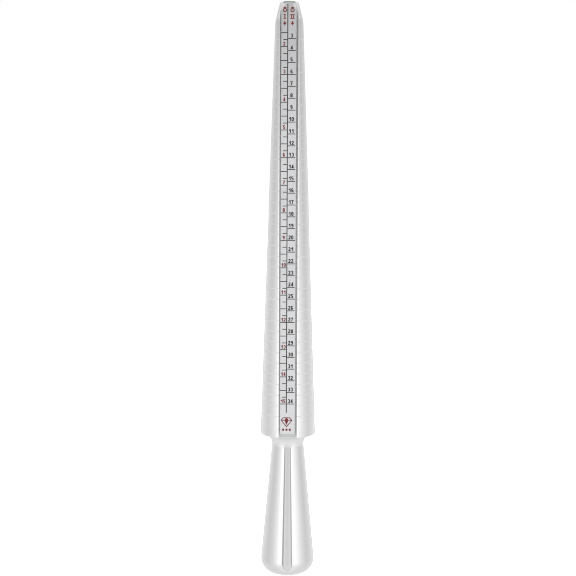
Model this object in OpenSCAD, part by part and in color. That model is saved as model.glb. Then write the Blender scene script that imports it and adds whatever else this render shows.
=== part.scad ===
// Ring mandrel: a tapered aluminium stick that measures and sizes finger rings.
// The flat base of the handle stands on z = 0, the taper points up, and the
// size scale faces the -Y side. All sizes are millimetres and degrees.

/* [Size law] */
// Inside diameter of a ring of size 0 on the left-hand scale
size_zero_d = 11.63; // [11.5:0.01:11.75]
// Growth of the inside diameter from one full size to the next
size_step_d = 0.8128; // [0.80:0.0001:0.83]
// Distance along the axis between two full sizes
size_pitch = 12.25; // [12:0.05:12.5]
// Smallest full size on the left-hand scale
first_size = 2; // [2:1:4]
// Largest full size on the left-hand scale
last_size = 15; // [13:1:15]
// Height of the largest size's line above the base
last_size_z = 80.2; // [79.5:0.1:84]
// Smallest size on the right-hand scale
first_right_size = 3; // [3:1:6]
// Largest size on the right-hand scale
last_right_size = 34; // [30:1:34]

/* [Mandrel] */
// Height of the tip above the base
overall_h = 259.5; // [258.5:0.5:264]
// Height of the cone's lower face
cone_base_z = 64.9; // [64:0.1:66.5]
// Radius of the nose at its tip, before the edge is rounded
tip_r = 4.05; // [3.95:0.05:4.2]
// Lean of the nose towards the axis, in degrees
nose_lean = 14.3; // [13.5:0.1:15]
// Radius that blends the nose into the cone
shoulder_round_r = 15; // [8:1:18]
// Radius of the rounded edge at the tip
tip_round_r = 0.8; // [0.4:0.1:1]
// Radius of the rounded edge at the cone's lower rim
rim_round_r = 0.2; // [0.1:0.05:0.25]
// Smallest radius of the neck below the cone
neck_r = 7.17; // [7:0.01:7.25]
// Radius of the hollow cove between the neck and the cone's lower face
cove_r = 4.9; // [4.5:0.1:4.9]

/* [Ring lines] */
// Inside circumference marked by the highest ring line
first_ring_c = 41; // [41:1:45]
// Inside circumference marked by the lowest ring line
last_ring_c = 76; // [70:1:76]
// Width of a ring line
ring_line_w = 0.36; // [0.2:0.02:0.5]
// Depth of a ring line
ring_line_depth = 0.1; // [0.05:0.01:0.15]

/* [Scale channel] */
// Width of the milled channel
channel_w = 8.1; // [8:0.1:8.6]
// Distance from the axis to the channel's floor at the cone's lower face
floor_base = 10.4; // [10.2:0.05:10.5]
// Distance from the axis to the channel's floor at the tip
floor_tip = 3.1; // [3:0.05:3.2]

/* [Scale plate] */
// Width of the printed plate
plate_w = 6.75; // [6.4:0.05:7.1]
// Thickness of the printed plate
plate_t = 0.55; // [0.4:0.05:0.6]
// Distance of the plate from the channel's middle, to the left
plate_shift = 0.13; // [0:0.01:0.3]
// Thickness of the adhesive film under the plate
adhesive_t = 0.12; // [0.08:0.01:0.2]
// Bare channel floor below the plate's lower end
plate_gap = 1.6; // [1:0.1:2]
// Bare channel floor above the plate's upper end
plate_top_gap = 0.6; // [0.3:0.1:1]
// Radius of the plate's lower corners
plate_corner_r = 0.9; // [0.5:0.1:1.2]
// Thickness of the printed ink
ink_t = 0.04; // [0.03:0.01:0.06]

/* [Printed scale] */
// Distance of the dividing line from the plate's middle, to the left
divider_shift = 0.5; // [0.3:0.05:0.6]
// Width of the dividing line
divider_w = 0.4; // [0.3:0.02:0.5]
// Thickness of a size tick
tick_w = 0.33; // [0.25:0.01:0.4]
// Height of the left-hand numerals
left_digit_h = 1.7; // [1.4:0.05:1.7]
// Height of the right-hand numerals
right_digit_h = 1.8; // [1.6:0.05:1.9]

/* [Handle] */
// Largest radius of the handle
handle_r = 12.06; // [11.8:0.02:12.3]
// Radius of the handle's rounded end
end_round_r = 6.4; // [6.3:0.1:7.5]

/* [Joining stud] */
// Outside radius of the stud's thread
stud_r = 4; // [3.5:0.1:4.2]
// Pitch of the stud's thread
stud_pitch = 1.25; // [1:0.25:1.5]
// Length of stud in the handle, and the same again in the mandrel
stud_reach = 14; // [12:0.5:15]

/* [Hidden] */
$fn = 96;

// Radial growth of the cone for each millimetre down its axis
taper = size_step_d / size_pitch / 2;
// Sizes of the right-hand scale to one full size of the left-hand scale
right_per_left = 7 / 3;
// Right-hand size that would stand at left-hand size 0
right_at_zero = -1;

// Channel floor: length, lean towards the axis, and length of its slope
channel_drop = overall_h - cone_base_z;
floor_lean = atan((floor_base - floor_tip) / channel_drop);
slope_per_z = 1 / cos(floor_lean);
// Distance that the milling cut runs out past each end of the cone
channel_runout = 6;

// Middle of the cove's arc, and middle of the handle's end round
cove_c = [neck_r + cove_r, cone_base_z - cove_r];
end_c = [handle_r - end_round_r, end_round_r];
// The handle's side is the straight line that touches both: its lean, in degrees
flare = atan2(cove_c[1] - end_c[1], cove_c[0] - end_c[0])
    - acos((end_round_r + cove_r) / norm(cove_c - end_c));
flare_normal = [cos(flare), sin(flare)];
// Where the side meets the cove, which is where the handle joins the mandrel
joint = cove_c - cove_r * flare_normal;
joint_z = joint[1];

// Plate surface, measured outwards from the channel floor
plate_back = adhesive_t;
plate_front = adhesive_t + plate_t;
// Play between the plate's trimmed end and the nose's outline
trim_inset = 0.15;
adhesive_inset = 0.4;
round_steps = 8;

// Printed columns, measured across the plate from its middle
divider_x = -divider_shift;
left_edge_x = -plate_w / 2;
left_number_x = left_edge_x + 1.38;
right_number_x = divider_x + 1.75;
right_tick_len = 3.3;
half_tick_len = 2.6;
quarter_tick_len = 1.7;
tick_overlap = 0.05;
number_lift = 0.42;
divider_top_z = 258.1;
divider_tail = 4;
left_heading_x = divider_x - 1.35;
right_heading_x = divider_x + 2.05;
heading_z = [255.6, 252.6, 249.7];
emblem_z = 72.1;

// Stroke of a numeral and its shape, as shares of its height
stroke_share = 0.225;
digit_w_share = 0.5925;
digit_gap_share = 0.08;
arc_step = 12;

// Hidden stud and its blind holes
thread_depth = 0.6;
stud_clearance = 0.05;
hole_spare = 1;
stud_bevel = 0.8;

satin = [0.80, 0.80, 0.81];
polished = [0.86, 0.86, 0.87];
plate_grey = [0.76, 0.76, 0.77];
black_ink = [0.12, 0.12, 0.13];
red_ink = [0.55, 0.10, 0.12];

function size_d(n) = size_zero_d + size_step_d * n;
function size_z(n) = last_size_z + (15 - n) * size_pitch;
function cone_r(z) = size_d(15) / 2 - taper * (z - last_size_z);
function ring_z(c) = last_size_z + (size_d(15) - c / PI) / (2 * taper);
function right_size_z(n) = size_z((n - right_at_zero) / right_per_left);
// Lean of the cone's side towards the axis
cone_lean = atan(taper);
// Height at which the cone and the nose would meet in a corner
nose_z = overall_h - (cone_r(overall_h) - tip_r) / (tan(nose_lean) - taper);
// Arc of radius r that rounds the corner p, between outward normals a0 and a1
function rounded(p, a0, a1, r) =
    let (c = p - r / cos((a1 - a0) / 2) * [cos((a0 + a1) / 2), sin((a0 + a1) / 2)])
    [for (i = [0 : round_steps])
        let (a = a0 + (a1 - a0) * i / round_steps)
        c + r * [cos(a), sin(a)]];
// Distance up the channel floor's slope of a given height
function up_slope(z) = (z - cone_base_z) * slope_per_z;

// ---------------------------------------------------------------- mandrel

// Rounded shoulder, side and tip of the nose, drawn in from its true size by inset
function nose_outline(inset = 0) = concat(
    rounded([cone_r(nose_z) - inset, nose_z], cone_lean, nose_lean, shoulder_round_r),
    rounded([tip_r - inset, overall_h - inset], nose_lean, 90, tip_round_r));

// Outline of the cone with its ring lines, from the lower rim to the tip
function cone_outline() = concat(
    rounded([cone_r(cone_base_z), cone_base_z], -90, cone_lean, rim_round_r),
    [for (c = [last_ring_c : -1 : first_ring_c], step = [-1 : 1])
        let (z = ring_z(c) + step * ring_line_w / 2)
        [cone_r(z) - (step == 0 ? ring_line_depth : 0), z]],
    nose_outline());

module mandrel_blank()
    rotate_extrude() {
        polygon(concat([[0, cone_base_z]], cone_outline(), [[0, overall_h]]));
        difference() {
            translate([0, joint_z])
                square([cove_c[0], cone_base_z - joint_z]);
            translate(cove_c)
                circle(r = cove_r);
        }
    }

// Places its children on the channel floor: x across, y up the slope, z outwards
module on_floor(lift = 0)
    translate([0, -floor_base, cone_base_z])
        rotate([90 - floor_lean, 0, 0])
            translate([0, 0, lift])
                children();

// Blind tapped hole for the stud, open at z and running up or down from there
module stud_hole(z, way)
    translate([0, 0, way > 0 ? z - 1 : z - stud_reach - hole_spare])
        cylinder(r = stud_r + stud_clearance, h = stud_reach + hole_spare + 1);

module mandrel() color(satin)
    difference() {
        mandrel_blank();
        on_floor()
            translate([-channel_w / 2, -channel_runout, 0])
                cube([channel_w, channel_drop + 2 * channel_runout, floor_base]);
        stud_hole(joint_z, 1);
    }

// ----------------------------------------------------------------- handle

module handle() color(polished)
    difference() {
        rotate_extrude()
            intersection() {
                union() {
                    translate(end_c)
                        circle(r = end_round_r);
                    polygon([[0, 0], [end_c[0], 0], end_c + end_round_r * flare_normal,
                             joint, [0, joint_z]]);
                }
                square([2 * handle_r, joint_z]);
            }
        stud_hole(joint_z, -1);
    }

// Threaded stud, drawn with round thread ridges, that draws handle and mandrel together
module joining_stud() color(satin) {
    low = joint_z - stud_reach;
    high = joint_z + stud_reach;
    ridges = floor((2 * (stud_reach - stud_bevel)) / stud_pitch);
    first = joint_z - ridges * stud_pitch / 2;
    root_r = stud_r - thread_depth;
    rotate_extrude()
        polygon(concat(
            [[0, low], [root_r - stud_bevel / 2, low], [root_r, first]],
            [for (i = [0 : ridges - 1], side = [0 : 1])
                [side == 0 ? stud_r : root_r, first + (i + 0.5 + side / 2) * stud_pitch]],
            [[root_r - stud_bevel / 2, high], [0, high]]));
}

// ------------------------------------------------------------ scale plate

// Flat outline of the plate, with its lower corners rounded
module plate_outline(inset = 0) {
    w = plate_w - 2 * inset;
    low = up_slope(cone_base_z + plate_gap) + inset;
    high = up_slope(overall_h - plate_top_gap) - inset;
    translate([-w / 2, low + plate_corner_r])
        square([w, high - low - plate_corner_r]);
    translate([-w / 2 + plate_corner_r, low])
        square([w - 2 * plate_corner_r, 2 * plate_corner_r]);
    for (side = [-1, 1])
        translate([side * (w / 2 - plate_corner_r), low + plate_corner_r])
            circle(r = plate_corner_r);
}

// Places its children on the plate's own middle line, lift above the channel floor
module on_plate(lift = 0)
    on_floor(lift)
        translate([-plate_shift, 0, 0])
            children();

// Space inside the cone and the nose, which the plate never stands proud of
module inside_nose(inset)
    rotate_extrude()
        polygon(concat([[0, cone_base_z], [cone_r(cone_base_z) - inset, cone_base_z]],
                       nose_outline(inset), [[0, overall_h - inset]]));

module scale_plate() color(plate_grey)
    intersection() {
        on_plate(plate_back)
            linear_extrude(plate_t)
                plate_outline();
        inside_nose(trim_inset);
    }

module plate_adhesive() color("white")
    intersection() {
        on_plate()
            linear_extrude(adhesive_t)
                plate_outline(adhesive_inset);
        inside_nose(2 * trim_inset);
    }

// ----------------------------------------------------------------- print

// Prints its flat children on the face of the plate
module print()
    on_plate(plate_front)
        linear_extrude(ink_t)
            children();

// Straight stroke from a to b, t wide, with square ends
module bar(a, b, t) {
    along = (b - a) / norm(b - a);
    side = [-along[1], along[0]] * t / 2;
    polygon([a - side, b - side, b + side, a + side]);
}

// Curved stroke about c, its middle line at radius r, from angle a0 up to a1
module arc(c, r, a0, a1, t) {
    steps = ceil((a1 - a0) / arc_step);
    angles = [for (i = [0 : steps]) a0 + (a1 - a0) * i / steps];
    back = [for (i = [0 : steps]) angles[steps - i]];
    polygon(concat(
        [for (a = angles) c + (r + t / 2) * [cos(a), sin(a)]],
        [for (a = back) c + (r - t / 2) * [cos(a), sin(a)]]));
}

// Closed round stroke about c
module loop(c, r, t)
    translate(c)
        difference() {
            circle(r = r + t / 2, $fn = 32);
            circle(r = r - t / 2, $fn = 32);
        }

// Digit d, h high, with its lower left corner at the origin
module digit(d, h) {
    w = digit_w_share * h;
    t = stroke_share * h;
    m = t / 2;
    mid = w / 2;
    r = mid - m;
    low = [mid, mid];
    top = [mid, h - mid];
    // Two equal bowls of 3 and 8, which meet on their middle lines
    bowl_r = (h - t) / 4;
    low_bowl = [mid, m + bowl_r];
    top_bowl = [mid, h - m - bowl_r];
    // 0, 6 and 9 have straight sides between their round ends
    if (d == 0) {
        arc(top, r, 0, 180, t);
        arc(low, r, 180, 360, t);
        bar([m, mid], [m, h - mid], t);
        bar([w - m, mid], [w - m, h - mid], t);
    }
    if (d == 1) {
        bar([mid + m, 0], [mid + m, h], t);
        bar([mid - t, h - 1.75 * t], [mid + m, h - m], t);
    }
    if (d == 2) {
        arc(top, r, -35, 170, t);
        bar([mid + r * cos(35), h - mid - r * sin(35)], [m, m], t);
        bar([0, m], [w, m], t);
    }
    if (d == 3) {
        arc(top_bowl, bowl_r, -90, 150, t);
        arc(low_bowl, bowl_r, -150, 90, t);
    }
    if (d == 4) {
        bar([w - 0.8 * t, 0], [w - 0.8 * t, h], t);
        bar([0, h * 0.28], [w, h * 0.28], t);
        bar([m, h * 0.28], [w - 0.9 * t, h - m / 2], 0.8 * t);
    }
    if (d == 5) {
        bar([m, h - m], [w - m / 2, h - m], t);
        bar([m, h], [m, h * 0.44], t);
        arc(low, r, -150, 135, t);
    }
    if (d == 6) {
        loop(low, r, t);
        bar([m, mid], [m, h - mid], t);
        arc(top, r, 30, 180, t);
    }
    if (d == 7) {
        bar([0, h - m], [w, h - m], t);
        bar([w - m, h - m], [mid - m, 0], t);
    }
    if (d == 8) {
        loop(top_bowl, bowl_r, t);
        loop(low_bowl, bowl_r, t);
    }
    if (d == 9)
        translate([w, h])
            rotate(180)
                digit(6, h);
}

// Whole number n, h high, centred on x and standing on y
module number(n, h, x, y) {
    tens = floor(n / 10);
    w = digit_w_share * h;
    step = w + digit_gap_share * h;
    if (tens == 0)
        translate([x - w / 2, y])
            digit(n, h);
    else {
        translate([x - (w + step) / 2, y])
            digit(tens, h);
        translate([x + (step - w) / 2, y])
            digit(n - 10 * tens, h);
    }
}

// Level tick from x0 to x1, centred on height z
module tick(x0, x1, z)
    translate([x0, up_slope(z) - tick_w / 2])
        square([x1 - x0, tick_w]);

module divider_line() color(black_ink)
    print()
        translate([divider_x - divider_w / 2, up_slope(last_size_z) - divider_tail])
            square([divider_w, up_slope(divider_top_z) - up_slope(last_size_z) + divider_tail]);

// Full sizes cross the whole column, half sizes most of it, quarter sizes half
module left_size_ticks() color(black_ink)
    print()
        for (quarter = [4 * first_size - 2 : 4 * last_size]) {
            x1 = divider_x - divider_w / 2 - tick_overlap;
            full_len = x1 - left_edge_x - tick_overlap;
            len = quarter % 4 == 0 ? full_len
                : quarter % 2 == 0 ? half_tick_len : quarter_tick_len;
            tick(x1 - len, x1, size_z(quarter / 4));
        }

module right_size_ticks() color(black_ink)
    print()
        for (n = [first_right_size : last_right_size]) {
            x0 = divider_x + divider_w / 2 + tick_overlap;
            tick(x0, x0 + right_tick_len, right_size_z(n));
        }

module left_numerals() color(red_ink)
    print()
        for (n = [first_size : last_size])
            number(n, left_digit_h, left_number_x, up_slope(size_z(n)) + number_lift);

module right_numerals() color(black_ink)
    print()
        for (n = [first_right_size : last_right_size])
            number(n, right_digit_h, right_number_x,
                   up_slope(right_size_z(n)) + number_lift);

// Heading of one column: a ring with a stone, the scale's Roman number, an arrow
module heading(scale_number) {
    ring_r = 0.72;
    line_t = 0.44;
    stone = [[0, 0.45], [0.68, 0.9], [0.4, 1.25], [-0.4, 1.25], [-0.68, 0.9]];
    number_half_h = 1;
    stroke_gap = 0.78;
    serif_t = 0.34;
    serif_w = 1.2 + (scale_number - 1) * stroke_gap;
    arrow_w = 1.8;
    arrow_top = 1.05;
    arrow_neck = 0.25;
    translate([0, up_slope(heading_z[0])]) {
        loop([0, -0.2], ring_r, line_t);
        polygon(stone);
    }
    translate([0, up_slope(heading_z[1])]) {
        for (i = [0 : scale_number - 1])
            translate([(i - (scale_number - 1) / 2) * stroke_gap, 0])
                square([line_t, 2 * number_half_h], center = true);
        for (side = [-1, 1])
            translate([0, side * (number_half_h - serif_t / 2)])
                square([serif_w, serif_t], center = true);
    }
    translate([0, up_slope(heading_z[2])]) {
        polygon([[-arrow_w / 2, arrow_neck], [arrow_w / 2, arrow_neck], [0, -arrow_top]]);
        translate([-line_t / 2, arrow_neck - 0.1])
            square([line_t, arrow_top - arrow_neck + 0.1]);
    }
}

module column_headings() color(red_ink)
    print() {
        translate([left_heading_x, 0])
            heading(1);
        translate([right_heading_x, 0])
            heading(2);
    }

// Cut-gem figure with a filled middle, and three dots under it
module plate_emblem() color(red_ink)
    print()
        translate([divider_x + 0.1, up_slope(emblem_z)]) {
            line_t = 0.36;
            half_w = 2.65;
            table_w = 1.45;
            crown = 2.05;
            girdle = 0.75;
            point = -2.45;
            dots_y = -3.55;
            outline = [[-table_w, crown], [table_w, crown], [half_w, girdle], [0, point],
                       [-half_w, girdle]];
            intersection() {
                polygon(outline);
                union() {
                    for (i = [0 : len(outline) - 1])
                        bar(outline[i], outline[(i + 1) % len(outline)], 2 * line_t);
                    bar([-half_w, girdle], [half_w, girdle], line_t);
                    polygon([[0, crown], [0.95, girdle], [0, point + 1], [-0.95, girdle]]);
                }
            }
            for (i = [-1 : 1])
                translate([i * 1.5, dots_y])
                    circle(r = 0.52, $fn = 24);
        }

mandrel();
handle();
joining_stud();
scale_plate();
plate_adhesive();
divider_line();
left_size_ticks();
right_size_ticks();
left_numerals();
right_numerals();
column_headings();
plate_emblem();
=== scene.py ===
import math

import bmesh
import bpy
from mathutils import Matrix, Vector


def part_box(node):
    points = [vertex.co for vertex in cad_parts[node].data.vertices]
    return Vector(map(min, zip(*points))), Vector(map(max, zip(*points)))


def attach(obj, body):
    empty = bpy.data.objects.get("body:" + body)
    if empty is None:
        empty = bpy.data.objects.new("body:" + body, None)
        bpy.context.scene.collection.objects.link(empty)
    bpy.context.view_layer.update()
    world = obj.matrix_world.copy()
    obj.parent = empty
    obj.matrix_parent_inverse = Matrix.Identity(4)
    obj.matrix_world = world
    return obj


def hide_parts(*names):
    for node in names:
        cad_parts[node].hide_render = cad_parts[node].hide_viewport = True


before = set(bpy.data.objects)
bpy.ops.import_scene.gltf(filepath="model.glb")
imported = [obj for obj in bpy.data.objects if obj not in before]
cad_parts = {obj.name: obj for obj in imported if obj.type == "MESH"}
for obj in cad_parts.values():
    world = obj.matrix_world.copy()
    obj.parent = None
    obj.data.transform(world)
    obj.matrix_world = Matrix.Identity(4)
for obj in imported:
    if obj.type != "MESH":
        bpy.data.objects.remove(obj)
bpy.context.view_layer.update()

MM = 0.001

# ------------------------------------------------------------- dimensions
# Metres, in the frame of the CAD model. What the frame can tell is read from it.

TIP_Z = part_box("mandrel")[1].z
HANDLE_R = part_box("handle")[1].x
STUD_LOW_Z, STUD_HIGH_Z = (corner.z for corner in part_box("joining_stud"))
PLATE_LEFT, PLATE_RIGHT = (corner.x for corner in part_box("scale_plate"))

# The measuring taper: a full ring size is SIZE_STEP of diameter and SIZE_PITCH of length
SIZE_0_D = 11.63 * MM
SIZE_STEP = 0.8128 * MM
SIZE_PITCH = 12.25 * MM
SIZE_15_R = (SIZE_0_D + 15 * SIZE_STEP) / 2
SIZE_15_Z = 80.2 * MM
TAPER = SIZE_STEP / SIZE_PITCH / 2
CONE_LEAN = math.atan(TAPER)

CONE_Z = 64.9 * MM                # lower face of the cone
RIM_ROUND = 0.2 * MM
NOSE_LEAN = math.radians(14.3)    # of the nose's side, from upright
TIP_R = 4.05 * MM                 # corner of the nose's end, before it is rounded
SHOULDER_ROUND = 15 * MM          # between the cone and the nose
TIP_ROUND = 0.8 * MM
NECK_R = 7.17 * MM
COVE_R = 4.9 * MM
END_ROUND = 6.4 * MM              # of the handle's end
BORE_R = 4.05 * MM                # blind holes for the stud
BORE_SPARE = 1 * MM               # and their depth past its ends
JOINT_BREAK = 0.02 * MM           # broken edges where the handle meets the mandrel

RING_FIRST_C, RING_LAST_C = 41 * MM, 76 * MM      # inside circumferences of rings
RING_STEP_C = 1 * MM
RING_LINES = round((RING_LAST_C - RING_FIRST_C) / RING_STEP_C) + 1
RING_W = 0.36 * MM
RING_DEPTH = 0.1 * MM

CHANNEL_HALF_W = 4.05 * MM
FLOOR_BASE, FLOOR_TIP = 10.4 * MM, 3.1 * MM       # floor's distance from the axis
EDGE_BREAK = 0.06 * MM
# Narrow flat filed along each edge of the channel, and how far it faces away from -Y:
# LAND_LEAN, or LAND_TURN short of the cone's own angle where the cone is slim
LAND_W = 0.5 * MM
LAND_LEAN, LAND_TURN = math.radians(16.5), math.radians(13)
LAND_FADE = 0.5 * MM              # the flat runs out where the nose has curved in this far
WALL_SHARE = 0.36                 # most of the wall's height that the flat or the break takes

ADHESIVE_T = 0.12 * MM
PLATE_T = 0.55 * MM
PLATE_GAP = 1.6 * MM              # bare channel floor below the plate
PLATE_TOP_GAP = 0.6 * MM          # and above it
PLATE_CORNER = 0.9 * MM
PLATE_TRIM = 0.17 * MM            # play between the plate and the nose's outline
PLATE_RUN_IN = 3 * MM             # the plate's top outline starts this far below the nose
PLATE_BREAK = 0.05 * MM

FLOOR_LEAN = math.atan((FLOOR_BASE - FLOOR_TIP) / (TIP_Z - CONE_Z))

# Steps round a turned surface, and along the stretches of the outlines
ROUND_STEPS = 192
RIM_STEPS, COVE_STEPS, END_STEPS, NOSE_ROUND_STEPS, CORNER_STEPS = 8, 40, 44, 10, 8
NOSE_SIDE_STEPS, HANDLE_SIDE_STEPS, PLATE_TOP_STEPS = 16, 12, 80


def cone_r(z):
    return SIZE_15_R - TAPER * (z - SIZE_15_Z)


def ring_z(circumference):
    """Height of the ring line that marks an inside circumference."""
    return SIZE_15_Z + (SIZE_15_R - circumference / (2 * math.pi)) / TAPER


RING_TOP_Z = ring_z(RING_FIRST_C) + RING_W


def floor_dist(z):
    """Distance from the axis to the channel's floor at height z."""
    return FLOOR_BASE - (z - CONE_Z) * math.tan(FLOOR_LEAN)


# --------------------------------------------------------------- outlines
# Outlines are lists of (r, z) points, and angles are radians in that plane.

def arc_points(centre, radius, start, stop, steps):
    angles = [start + (stop - start) * i / steps for i in range(steps + 1)]
    return [(centre[0] + radius * math.cos(a), centre[1] + radius * math.sin(a))
            for a in angles]


def rounded(corner, start, stop, radius, steps):
    """Arc that rounds a corner, between the outward normals start and stop."""
    middle = (start + stop) / 2
    back = radius / math.cos((stop - start) / 2)
    centre = (corner[0] - back * math.cos(middle), corner[1] - back * math.sin(middle))
    return arc_points(centre, radius, start, stop, steps)


def between(start, stop, steps):
    """Points along the straight line from start to stop, without its ends."""
    return [tuple(Vector(start).lerp(Vector(stop), i / steps)) for i in range(1, steps)]


def handle_line():
    """Lean of the handle's side, the centres of the two arcs it touches, and the joint."""
    cove = Vector((NECK_R + COVE_R, CONE_Z - COVE_R))
    end = Vector((HANDLE_R - END_ROUND, END_ROUND))
    reach = cove - end
    lean = math.atan2(reach.y, reach.x) - math.acos((END_ROUND + COVE_R) / reach.length)
    joint = cove - COVE_R * Vector((math.cos(lean), math.sin(lean)))
    return lean, cove, end, joint


def nose_outline():
    """From the shoulder, where the nose leaves the cone, up to the tip."""
    corner_z = TIP_Z - (cone_r(TIP_Z) - TIP_R) / (math.tan(NOSE_LEAN) - TAPER)
    shoulder = rounded((cone_r(corner_z), corner_z), CONE_LEAN, NOSE_LEAN,
                       SHOULDER_ROUND, NOSE_ROUND_STEPS)
    tip = rounded((TIP_R, TIP_Z), NOSE_LEAN, math.pi / 2, TIP_ROUND, NOSE_ROUND_STEPS)
    return shoulder + between(shoulder[-1], tip[0], NOSE_SIDE_STEPS) + tip


NOSE = nose_outline()


def turned_r(z):
    """Radius of the cone or the nose at height z, without the ring lines."""
    for (low_r, low_z), (high_r, high_z) in zip(NOSE, NOSE[1:]):
        if low_z < z <= high_z:
            return low_r + (high_r - low_r) * (z - low_z) / (high_z - low_z)
    return cone_r(z)


def ring_lines():
    """Outline of the cone's side, with a notch for each ring line."""
    points = []
    for i in range(RING_LINES):
        z = ring_z(RING_LAST_C - i * RING_STEP_C)
        for side in (-1, 0, 1):
            height = z + side * RING_W / 2
            points.append((cone_r(height) - (RING_DEPTH if side == 0 else 0), height))
    return points


def mandrel_outline():
    """From the top of the blind hole down, round the cove, and up to the tip."""
    lean, cove, _, joint = handle_line()
    points = [(BORE_R, STUD_HIGH_Z + BORE_SPARE), (BORE_R, joint.y),
              (joint.x - JOINT_BREAK, joint.y)]
    points += arc_points(cove, COVE_R, math.pi + lean - JOINT_BREAK / COVE_R, math.pi / 2,
                         COVE_STEPS)
    points += rounded((cone_r(CONE_Z), CONE_Z), -math.pi / 2, CONE_LEAN, RIM_ROUND,
                      RIM_STEPS)
    return points + ring_lines() + NOSE


def handle_outline():
    """From the base round the end, up the side and down the blind hole."""
    lean, _, end, joint = handle_line()
    points = [(end.x / 2, 0)]
    points += arc_points(end, END_ROUND, -math.pi / 2, lean, END_STEPS)
    points += between(points[-1], joint, HANDLE_SIDE_STEPS)
    points += [(joint.x + JOINT_BREAK * math.tan(lean), joint.y - JOINT_BREAK),
               (joint.x - JOINT_BREAK, joint.y),
               (BORE_R, joint.y), (BORE_R, STUD_LOW_Z - BORE_SPARE)]
    return points


# ----------------------------------------------------------------- meshes

SHARP_ANGLE = math.radians(18)
MERGE_DISTANCE = 1e-8


def mesh_object(name, bm):
    """Makes an object from bm, smooth shaded, with edges over SHARP_ANGLE left crisp."""
    bmesh.ops.remove_doubles(bm, verts=bm.verts, dist=MERGE_DISTANCE)
    bmesh.ops.dissolve_degenerate(bm, dist=MERGE_DISTANCE, edges=bm.edges)
    bmesh.ops.recalc_face_normals(bm, faces=bm.faces)
    for face in bm.faces:
        face.smooth = True
    for edge in bm.edges:
        if len(edge.link_faces) == 2:
            edge.smooth = edge.calc_face_angle(0) < SHARP_ANGLE
    mesh = bpy.data.meshes.new(name)
    bm.to_mesh(mesh)
    bm.free()
    piece = bpy.data.objects.new(name, mesh)
    bpy.context.scene.collection.objects.link(piece)
    return piece


def skin(bm, rings):
    """Quads between closed rings of equally many vertices, and a face over each end."""
    for low, high in zip(rings, rings[1:]):
        for i in range(len(low)):
            j = (i + 1) % len(low)
            bm.faces.new((low[i], low[j], high[j], high[i]))
    bm.faces.new(rings[0])
    bm.faces.new(rings[-1])


def circle_section(bm, r, z):
    """Ring round the axis at height z."""
    step = 2 * math.pi / ROUND_STEPS
    return [bm.verts.new((r * math.cos(i * step), r * math.sin(i * step), z))
            for i in range(ROUND_STEPS)]


def channel_section(bm, r, z):
    """Ring round the mandrel at height z, notched where the milled channel cuts into it."""
    floor = min(floor_dist(z), r)
    half_w = min(CHANNEL_HALF_W, math.sqrt(r * r - floor * floor))
    wall = math.sqrt(r * r - half_w * half_w) - floor
    broken = min(EDGE_BREAK, WALL_SHARE * wall)
    curved_in = max(0, cone_r(z) - RING_DEPTH - r)
    land = min(LAND_W, WALL_SHARE * wall) * max(0, 1 - curved_in / LAND_FADE)
    land_x = half_w + broken
    out_x = land_x + land
    lean = max(LAND_LEAN, math.asin(out_x / r) - LAND_TURN)
    land_top = math.sqrt(r * r - out_x * out_x) + land * math.tan(lean)
    start = -math.atan2(math.sqrt(r * r - out_x * out_x), out_x)
    sweep = math.pi - 2 * start
    section = [(r * math.cos(start + sweep * i / ROUND_STEPS),
                r * math.sin(start + sweep * i / ROUND_STEPS))
               for i in range(ROUND_STEPS + 1)]
    left = [(-land_x, -land_top), (-half_w, -(land_top - broken)), (-half_w, -floor)]
    section += left + [(-x, y) for x, y in reversed(left)]
    return [bm.verts.new((x, y, z)) for x, y in section]


CONE_FINISH, CHANNEL_FINISH, FORM_TOOL_FINISH = range(3)
CHANNEL_SLACK = 0.01 * MM
# Rise of a face's normal, from 0 for an upright face to 1 for a level one
CHANNEL_MOST_RISE, RING_LINE_LEAST_RISE = 0.5, 0.3


def mandrel_finish(face):
    """Which of the mandrel's three finishes a face has."""
    middle = face.center
    rise = abs(face.normal.z)
    if middle.z < CONE_Z + RIM_ROUND / 2:
        return FORM_TOOL_FINISH
    within = abs(middle.x) < CHANNEL_HALF_W + CHANNEL_SLACK and middle.y < 0
    below_surface = math.hypot(middle.x, middle.y) < turned_r(middle.z) - EDGE_BREAK
    if within and below_surface and rise < CHANNEL_MOST_RISE:
        return CHANNEL_FINISH
    in_ring_line = middle.z < RING_TOP_Z and rise > RING_LINE_LEAST_RISE
    return FORM_TOOL_FINISH if in_ring_line else CONE_FINISH


def make_mandrel():
    bm = bmesh.new()
    skin(bm, [channel_section(bm, r, z) for r, z in mandrel_outline()])
    return mesh_object("turned_mandrel", bm)


def make_handle():
    bm = bmesh.new()
    skin(bm, [circle_section(bm, r, z) for r, z in handle_outline()])
    return mesh_object("polished_handle", bm)


def plate_outline():
    """(x, s) round the plate, s being the distance up the channel's slope."""
    slope = 1 / math.cos(FLOOR_LEAN)
    low = PLATE_GAP * slope
    front = (ADHESIVE_T + PLATE_T) * slope
    corner = arc_points((PLATE_CORNER, low + PLATE_CORNER), PLATE_CORNER,
                        math.pi, 1.5 * math.pi, CORNER_STEPS)
    points = [(PLATE_LEFT + x, s) for x, s in corner]
    points += [(PLATE_RIGHT - x, s) for x, s in reversed(corner)]
    first_z = NOSE[0][1] - PLATE_RUN_IN
    last_z = TIP_Z - PLATE_TOP_GAP
    top = []
    for i in range(PLATE_TOP_STEPS + 1):
        z = first_z + (last_z - first_z) * i / PLATE_TOP_STEPS
        r = turned_r(z + PLATE_TRIM * math.sin(NOSE_LEAN)) - PLATE_TRIM
        inside = r * r - (floor_dist(z) + front) ** 2
        if inside > 0:
            top.append((math.sqrt(inside), (z - CONE_Z) * slope))
    points += [(min(PLATE_RIGHT, half), s) for half, s in top]
    points += [(max(PLATE_LEFT, -half), s) for half, s in reversed(top)]
    return points


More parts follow.
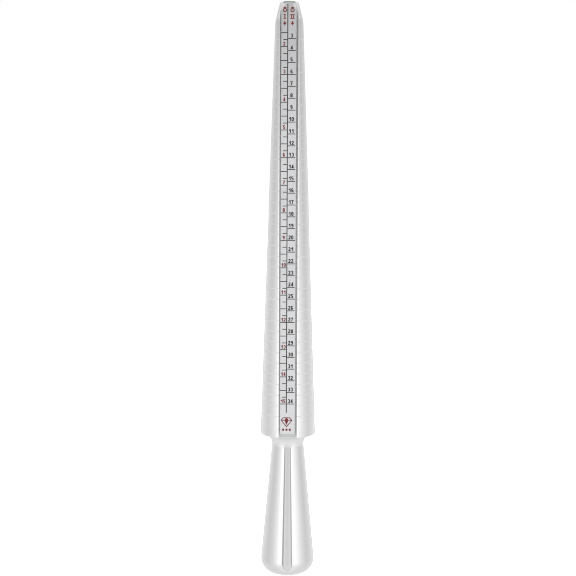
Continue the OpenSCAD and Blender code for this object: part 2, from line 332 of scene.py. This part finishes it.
def make_plate():
    bm = bmesh.new()
    to_world = (Matrix.Translation((0, -FLOOR_BASE, CONE_Z))
                @ Matrix.Rotation(math.radians(90) - FLOOR_LEAN, 4, "X"))
    face = bm.faces.new([bm.verts.new((x, s, ADHESIVE_T)) for x, s in plate_outline()])
    lifted = bmesh.ops.extrude_face_region(bm, geom=[face])["geom"]
    front = [v for v in lifted if isinstance(v, bmesh.types.BMVert)]
    bmesh.ops.translate(bm, verts=front, vec=(0, 0, PLATE_T))
    bmesh.ops.transform(bm, matrix=to_world, verts=bm.verts)
    plate = mesh_object("printed_plate", bm)
    bevel = plate.modifiers.new("edge_break", "BEVEL")
    bevel.width = PLATE_BREAK
    bevel.segments = 2
    bevel.limit_method = "ANGLE"
    bevel.angle_limit = math.radians(60)
    bevel.harden_normals = True
    return plate


# -------------------------------------------------------------- materials

class Graph:
    """Short calls that add nodes to a node tree."""

    def __init__(self, tree):
        self.nodes = tree.nodes
        self.links = tree.links

    def axes(self, coordinates):
        """x, y and z of one kind of texture coordinates."""
        place = self.nodes.new("ShaderNodeTexCoord").outputs[coordinates]
        split = self.nodes.new("ShaderNodeSeparateXYZ")
        self.links.new(place, split.inputs["Vector"])
        return split.outputs

    def maths(self, operation, *values):
        made = self.nodes.new("ShaderNodeMath")
        made.operation = operation
        for socket, value in zip(made.inputs, values):
            if isinstance(value, (int, float)):
                socket.default_value = value
            else:
                self.links.new(value, socket)
        return made.outputs[0]

    def ranged(self, source, to_low, to_high, from_low=0.3, from_high=0.7, kind="LINEAR"):
        """Carries from_low..from_high, by default where noise lies, over to to_low..to_high."""
        made = self.nodes.new("ShaderNodeMapRange")
        made.interpolation_type = kind
        made.inputs["From Min"].default_value = from_low
        made.inputs["From Max"].default_value = from_high
        made.inputs["To Min"].default_value = to_low
        made.inputs["To Max"].default_value = to_high
        self.links.new(source, made.inputs["Value"])
        return made.outputs["Result"]


class Shading(Graph):
    """A new Principled material, with short calls for the nodes that feed it."""

    def __init__(self, name, metallic=0.0):
        self.material = bpy.data.materials.new(name)
        self.material.use_nodes = True
        super().__init__(self.material.node_tree)
        self.shader = self.nodes["Principled BSDF"]
        self.shader.inputs["Metallic"].default_value = metallic

    def along(self, axis):
        """Place on the object along one axis, in metres."""
        return self.axes("Object")[axis]

    def clouds(self, per_metre, detail=3.0):
        """Noise with the given number of features per metre along x, y and z."""
        place = self.nodes.new("ShaderNodeTexCoord").outputs["Object"]
        mapping = self.nodes.new("ShaderNodeMapping")
        mapping.inputs["Scale"].default_value = per_metre
        self.links.new(place, mapping.inputs["Vector"])
        made = self.nodes.new("ShaderNodeTexNoise")
        made.inputs["Scale"].default_value = 1.0
        made.inputs["Detail"].default_value = detail
        self.links.new(mapping.outputs["Vector"], made.inputs["Vector"])
        return made.outputs["Fac"]

    def turning(self, per_metre, detail=2.0):
        """Noise that changes only with height: the marks of a tool on a lathe."""
        made = self.nodes.new("ShaderNodeTexNoise")
        made.noise_dimensions = "1D"
        made.inputs["Scale"].default_value = 1.0
        made.inputs["Detail"].default_value = detail
        self.links.new(self.maths("MULTIPLY", self.along("Z"), per_metre), made.inputs["W"])
        return made.outputs["Fac"]

    def colour(self, factor, low, high):
        """Base colour, from low where factor is 0 to high where it is 1."""
        mix = self.nodes.new("ShaderNodeMix")
        mix.data_type = "RGBA"
        mix.inputs[6].default_value = (*low, 1)
        mix.inputs[7].default_value = (*high, 1)
        self.links.new(factor, mix.inputs[0])
        self.links.new(mix.outputs[2], self.shader.inputs["Base Color"])

    def roughness(self, source, low, high):
        """Roughness that follows a noise."""
        self.links.new(self.ranged(source, low, high), self.shader.inputs["Roughness"])

    def bump(self, height, distance, strength=0.5):
        """Relief that follows a noise, with distance in metres."""
        made = self.nodes.new("ShaderNodeBump")
        made.inputs["Strength"].default_value = strength
        made.inputs["Distance"].default_value = distance
        self.links.new(height, made.inputs["Height"])
        self.links.new(made.outputs["Normal"], self.shader.inputs["Normal"])


def turned_aluminium():
    """Bright satin cone: even turning lines, and faint bands rubbed by sliding rings."""
    look = Shading("turned_aluminium", metallic=1)
    lines = look.turning(per_metre=6000)
    bands = look.turning(per_metre=420, detail=3)
    patches = look.clouds(per_metre=(70, 70, 45), detail=4)
    worn = look.maths("MULTIPLY_ADD", bands, 0.6, look.maths("MULTIPLY", patches, 0.4))
    look.colour(look.ranged(worn, 0, 1), low=(0.895, 0.895, 0.902), high=(0.935, 0.935, 0.938))
    look.roughness(worn, low=0.16, high=0.19)
    look.bump(lines, distance=8e-6, strength=1)
    return look.material


# Painted shade in the channel's gaps deepens towards the tip, and the ring lines turn darker
# towards the tip from lower down
GAP_SHADE_LOW_Z, FULL_DARK_Z = 165 * MM, 215 * MM
RING_DARKENING_LOW_Z = 105 * MM


def form_cut_aluminium():
    """Duller satin left by form tools, in the cove under the cone and in the ring lines."""
    look = Shading("form_cut_aluminium", metallic=1)
    lines = look.turning(per_metre=5000)
    patches = look.clouds(per_metre=(120, 120, 90), detail=3)
    lighter_below = look.ranged(look.along("Z"), 1, 0, RING_DARKENING_LOW_Z, FULL_DARK_Z)
    look.colour(look.maths("MULTIPLY", look.ranged(patches, 0.7, 1), lighter_below),
                low=(0.83, 0.83, 0.835), high=(0.98, 0.98, 0.985))
    look.roughness(patches, low=0.36, high=0.42)
    look.bump(lines, distance=3e-6, strength=1)
    return look.material


# Where the painted shade in the channel sets in or ends: beside the plate, above its foot,
# under the tip, over its top
BESIDE_X = (2.9 * MM, 3.3 * MM)
OVER_FOOT_Z = (CONE_Z + 0.8 * PLATE_GAP, CONE_Z + 1.4 * PLATE_GAP)
UNDER_TIP_Z = (TIP_Z - 7 * MM, TIP_Z - 3 * MM)
OVER_PLATE_Z = (TIP_Z - 1.5 * PLATE_TOP_GAP, TIP_Z - PLATE_TOP_GAP)


def milled_channel():
    """Dull cutter marks on the channel's floor, and painted shade in the gaps round the plate.
    """
    look = Shading("milled_channel", metallic=0.7)
    height = look.along("Z")
    # Painted shade: the floor beside the plate darkens above its foot, deepens higher up and
    # fades out under the tip; the floor over the plate's top is darkened too
    beside = look.ranged(look.maths("ABSOLUTE", look.along("X")), 0, 1, *BESIDE_X)
    over_foot = look.ranged(height, 0, 1, *OVER_FOOT_Z)
    under_tip = look.ranged(height, 1, 0, *UNDER_TIP_Z)
    over_plate = look.ranged(height, 0, 1, *OVER_PLATE_Z)
    shade_deepens_up = look.ranged(height, 0.45, 1, GAP_SHADE_LOW_Z, FULL_DARK_Z)
    gaps = look.maths("MULTIPLY", look.maths("MULTIPLY", beside, shade_deepens_up),
                      look.maths("MULTIPLY", over_foot, under_tip))
    painted_shade = look.maths("MAXIMUM", gaps, over_plate)
    marks = look.clouds(per_metre=(900, 900, 2600), detail=3)
    uneven = look.maths("MULTIPLY_ADD", marks, 0.25, look.maths("MULTIPLY", painted_shade, 0.8))
    look.colour(uneven, low=(0.74, 0.75, 0.75), high=(0.40, 0.41, 0.405))
    look.roughness(marks, low=0.45, high=0.62)
    look.bump(marks, distance=4e-6)
    return look.material


def polished_aluminium():
    """Buffed aluminium with faint turning lines and wiping marks."""
    look = Shading("polished_aluminium", metallic=1)
    lines = look.turning(per_metre=3500)
    smears = look.clouds(per_metre=(110, 110, 30), detail=5)
    look.colour(look.ranged(smears, 0, 1), low=(0.845, 0.845, 0.85), high=(0.875, 0.875, 0.88))
    look.roughness(smears, low=0.05, high=0.09)
    look.bump(lines, distance=1e-6)
    return look.material


# The plate's colour darkens from the lower of these heights up, most of all at the upper one
PLATE_DARKENING_LOW_Z, PLATE_DARKEST_Z = 200 * MM, 258 * MM


def plate_aluminium():
    """Satin anodised sheet, rolled along its length, its colour darker towards the tip."""
    look = Shading("plate_aluminium", metallic=0.85)
    grain = look.clouds(per_metre=(9000, 9000, 500), detail=3)
    patches = look.ranged(look.clouds(per_metre=(200, 200, 120), detail=3), 0, 1)
    lighter_below = look.ranged(look.along("Z"), 0.8, 0, PLATE_DARKENING_LOW_Z, PLATE_DARKEST_Z)
    look.colour(look.maths("MULTIPLY_ADD", patches, 0.2, lighter_below),
                low=(0.66, 0.662, 0.675), high=(0.95, 0.953, 0.968))
    look.roughness(grain, low=0.27, high=0.37)
    look.bump(grain, distance=3e-6, strength=1)
    return look.material


def ink(name, full, thin):
    """Screen-printed ink in two shades of its colour, as it is laid on unevenly."""
    look = Shading(name)
    specks = look.clouds(per_metre=(2500, 2500, 2500), detail=3)
    look.colour(look.ranged(specks, 0, 1), low=full, high=thin)
    look.roughness(specks, low=0.45, high=0.6)
    look.bump(specks, distance=3e-6, strength=0.4)
    return look.material


def machined_steel():
    """Turned steel, for the hidden stud."""
    look = Shading("machined_steel", metallic=1)
    lines = look.turning(per_metre=6000)
    look.colour(look.ranged(lines, 0, 1), low=(0.5, 0.5, 0.51), high=(0.62, 0.62, 0.63))
    look.roughness(lines, low=0.25, high=0.4)
    look.bump(lines, distance=2e-6)
    return look.material


def adhesive_film():
    """Milky film under the plate, with fine specks."""
    look = Shading("adhesive_film")
    specks = look.clouds(per_metre=(800, 800, 800), detail=2)
    look.colour(look.ranged(specks, 0, 1), low=(0.8, 0.8, 0.76), high=(0.88, 0.88, 0.85))
    look.roughness(specks, low=0.5, high=0.7)
    return look.material


# ------------------------------------------------------------------ build

BLACK, THIN_BLACK = (0.007, 0.007, 0.008), (0.016, 0.016, 0.018)
RED, THIN_RED = (0.16, 0.012, 0.017), (0.22, 0.026, 0.031)
BLACK_INK_NODES = ("divider_line", "left_size_ticks", "right_size_ticks", "right_numerals")
RED_INK_NODES = ("left_numerals", "column_headings", "plate_emblem")


def finish(piece, *materials):
    """Puts materials in place of those that the piece has."""
    piece.data.materials.clear()
    for material in materials:
        piece.data.materials.append(material)


def build():
    mandrel = make_mandrel()
    finish(mandrel, turned_aluminium(), milled_channel(), form_cut_aluminium())
    for face in mandrel.data.polygons:
        face.material_index = mandrel_finish(face)
    handle = make_handle()
    finish(handle, polished_aluminium())
    plate = make_plate()
    finish(plate, plate_aluminium())
    for piece, replaced, slot in ((mandrel, "mandrel", "turned_aluminium"),
                                  (handle, "handle", "polished_aluminium"),
                                  (plate, "scale_plate", "plate_aluminium")):
        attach(piece, "root")
        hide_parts(replaced)
    black = ink("black_ink", BLACK, THIN_BLACK)
    red = ink("red_ink", RED, THIN_RED)
    for name in BLACK_INK_NODES:
        finish(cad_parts[name], black)
    for name in RED_INK_NODES:
        finish(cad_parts[name], red)
    finish(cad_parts["joining_stud"], machined_steel())
    finish(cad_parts["plate_adhesive"], adhesive_film())


# ------------------------------------------------------------------ stage

CAMERA_DISTANCE = 0.521
CAMERA_ELEVATION = math.radians(5.0)
CAMERA_TURN = math.radians(0.5)       # round the axis, towards +X
CAMERA_ROLL = math.radians(0.21)
CAMERA_HEIGHT = 131.7 * MM            # height on the axis that the camera looks at
CAMERA_ASIDE = -0.16 * MM             # and how far to the side of the axis
VIEW_WIDTH = 262.14 * MM              # what the camera sees across at the axis
SENSOR_WIDTH = 36                     # millimetres, as the lens
CLIP_START, CLIP_END = 0.01, 50

PIXEL_FILTER = 1.1                    # width in pixels; narrow keeps the fine print crisp

FLOOR_RADIUS = 8
FLOOR_STEPS = 96
FLOOR_WHITE = (0.9, 0.9, 0.9)
FLOOR_ROUGHNESS = 0.9
FLOOR_SPECULAR = 0.1
FLOOR_LIFT = 0.55                     # glow that keeps the floor white under the soft light


def make_camera():
    data = bpy.data.cameras.new("camera")
    data.sensor_width = SENSOR_WIDTH
    data.lens = SENSOR_WIDTH * CAMERA_DISTANCE / VIEW_WIDTH
    data.clip_start, data.clip_end = CLIP_START, CLIP_END
    camera = bpy.data.objects.new("camera", data)
    bpy.context.scene.collection.objects.link(camera)
    back = Vector((math.sin(CAMERA_TURN) * math.cos(CAMERA_ELEVATION),
                   -math.cos(CAMERA_TURN) * math.cos(CAMERA_ELEVATION),
                   math.sin(CAMERA_ELEVATION)))
    target = Vector((CAMERA_ASIDE, 0, CAMERA_HEIGHT))
    turn = (-back).to_track_quat("-Z", "Y").to_matrix().to_4x4()
    camera.matrix_world = (Matrix.Translation(target + CAMERA_DISTANCE * back) @ turn
                           @ Matrix.Rotation(CAMERA_ROLL, 4, "Z"))
    bpy.context.scene.camera = camera


def make_floor():
    bm = bmesh.new()
    bmesh.ops.create_circle(bm, cap_ends=True, radius=FLOOR_RADIUS, segments=FLOOR_STEPS)
    mesh = bpy.data.meshes.new("floor")
    bm.to_mesh(mesh)
    bm.free()
    floor = bpy.data.objects.new("floor", mesh)
    bpy.context.scene.collection.objects.link(floor)
    floor.visible_glossy = False
    look = Shading("white_floor")
    shader = look.shader
    shader.inputs["Base Color"].default_value = (*FLOOR_WHITE, 1)
    shader.inputs["Roughness"].default_value = FLOOR_ROUGHNESS
    shader.inputs["Specular IOR Level"].default_value = FLOOR_SPECULAR
    shader.inputs["Emission Color"].default_value = (1, 1, 1, 1)
    shader.inputs["Emission Strength"].default_value = FLOOR_LIFT
    floor.data.materials.append(look.material)


# Brightness of the studio round the object: degrees round from the camera's side (to the
# right is positive) and radiance. A grey card stands behind the camera, a thin dark flag on
# each side of it, then big soft lights that fall away towards the sides.
STUDIO = [
    (-98, 0.68), (-85, 0.70), (-70, 0.78), (-56, 0.93), (-46, 1.05), (-41.5, 1.21),
    (-33, 1.22), (-24.5, 1.30), (-22.5, 0.42), (-17.5, 0.42), (-15.5, 0.82), (-7, 0.76),
    (0, 0.73), (7, 0.77), (14.5, 0.83), (17, 0.46), (20.5, 0.46), (23, 1.30), (30, 1.21),
    (42, 1.13), (56, 0.98), (66, 0.87), (78, 0.775), (90, 0.70), (100, 0.68),
]
# The same behind the object, alike on both sides, as multiples of the brightness at 100
STUDIO_BACK = [
    (100, 1.0), (112, 1.08), (124, 1.12), (136, 1.18), (147, 1.30), (156, 1.50),
    (158, 0.55), (164, 0.55), (166, 1.14), (180, 1.0),
]
# Heights in the studio are the sine of the elevation: 1 is overhead and -1 underfoot. The
# sides lose light between the FALLOFF heights, and give way to an even top and ground.
FALLOFF_LOW, FALLOFF_HIGH, FALLOFF_LEFT = -0.12, 0.30, 0.74
TOP_LOW, TOP_HIGH = 0.26, 0.50
STUDIO_TOP = 0.84
UNDER_START, UNDER_FULL = 0.10, 0.66  # depth below level
UNDER_SHARE = 0.76                    # of the even ground, at most; the rest is still the sides
STUDIO_UNDER = 0.80


class Studio(Graph):
    """The short calls that only the world needs."""

    def blend(self, factor, source, level):
        """From source where factor is 0 to level where it is 1."""
        mix = self.nodes.new("ShaderNodeMix")
        self.links.new(factor, mix.inputs[0])
        self.links.new(source, mix.inputs[2])
        mix.inputs[3].default_value = level
        return mix.outputs[0]

    def ramp(self, angle, stops):
        """Brightness at an angle in radians, from stops in degrees."""
        made = self.nodes.new("ShaderNodeValToRGB")
        self.links.new(self.ranged(angle, 0, 1, -math.pi, math.pi), made.inputs["Fac"])
        elements = made.color_ramp.elements
        while len(elements) < len(stops):
            elements.new(0.5)
        brightest = max(radiance for _, radiance in stops)
        for element, (degrees, radiance) in zip(elements, stops):
            element.position = 0.5 + degrees / 360
            element.color = (*[radiance / brightest] * 3, 1)
        return self.maths("MULTIPLY", made.outputs["Color"], brightest)

    def brightness(self):
        """Brightness of the studio in the direction of a ray."""
        x, y, height = self.axes("Generated")
        turn = self.maths("ARCTAN2", x, self.maths("MULTIPLY", y, -1))
        front = self.ramp(turn, STUDIO)
        back = self.ramp(self.maths("ABSOLUTE", turn), STUDIO_BACK)
        falloff = self.ranged(height, 1, FALLOFF_LEFT, FALLOFF_LOW, FALLOFF_HIGH)
        sides = self.maths("MULTIPLY", self.maths("MULTIPLY", front, back), falloff)
        up = self.ranged(height, 0, 1, TOP_LOW, TOP_HIGH, "SMOOTHSTEP")
        depth = self.maths("MULTIPLY", height, -1)
        down = self.ranged(depth, 0, UNDER_SHARE, UNDER_START, UNDER_FULL, "SMOOTHSTEP")
        return self.blend(down, self.blend(up, sides, STUDIO_TOP), STUDIO_UNDER)


def make_world():
    """A studio that only reflections and light see, and plain white behind the object."""
    world = bpy.data.worlds.new("studio")
    bpy.context.scene.world = world
    world.use_nodes = True
    nodes, links = world.node_tree.nodes, world.node_tree.links
    nodes.clear()
    lit = nodes.new("ShaderNodeBackground")
    white = nodes.new("ShaderNodeBackground")
    for background in (lit, white):
        background.inputs["Color"].default_value = (1, 1, 1, 1)
    links.new(Studio(world.node_tree).brightness(), lit.inputs["Strength"])
    seen = nodes.new("ShaderNodeLightPath")
    pick = nodes.new("ShaderNodeMixShader")
    links.new(seen.outputs["Is Camera Ray"], pick.inputs[0])
    links.new(lit.outputs[0], pick.inputs[1])
    links.new(white.outputs[0], pick.inputs[2])
    output = nodes.new("ShaderNodeOutputWorld")
    links.new(pick.outputs[0], output.inputs["Surface"])


make_camera()
make_floor()
make_world()
build()
bpy.context.scene.view_settings.view_transform = "Standard"
bpy.context.scene.cycles.filter_width = PIXEL_FILTER
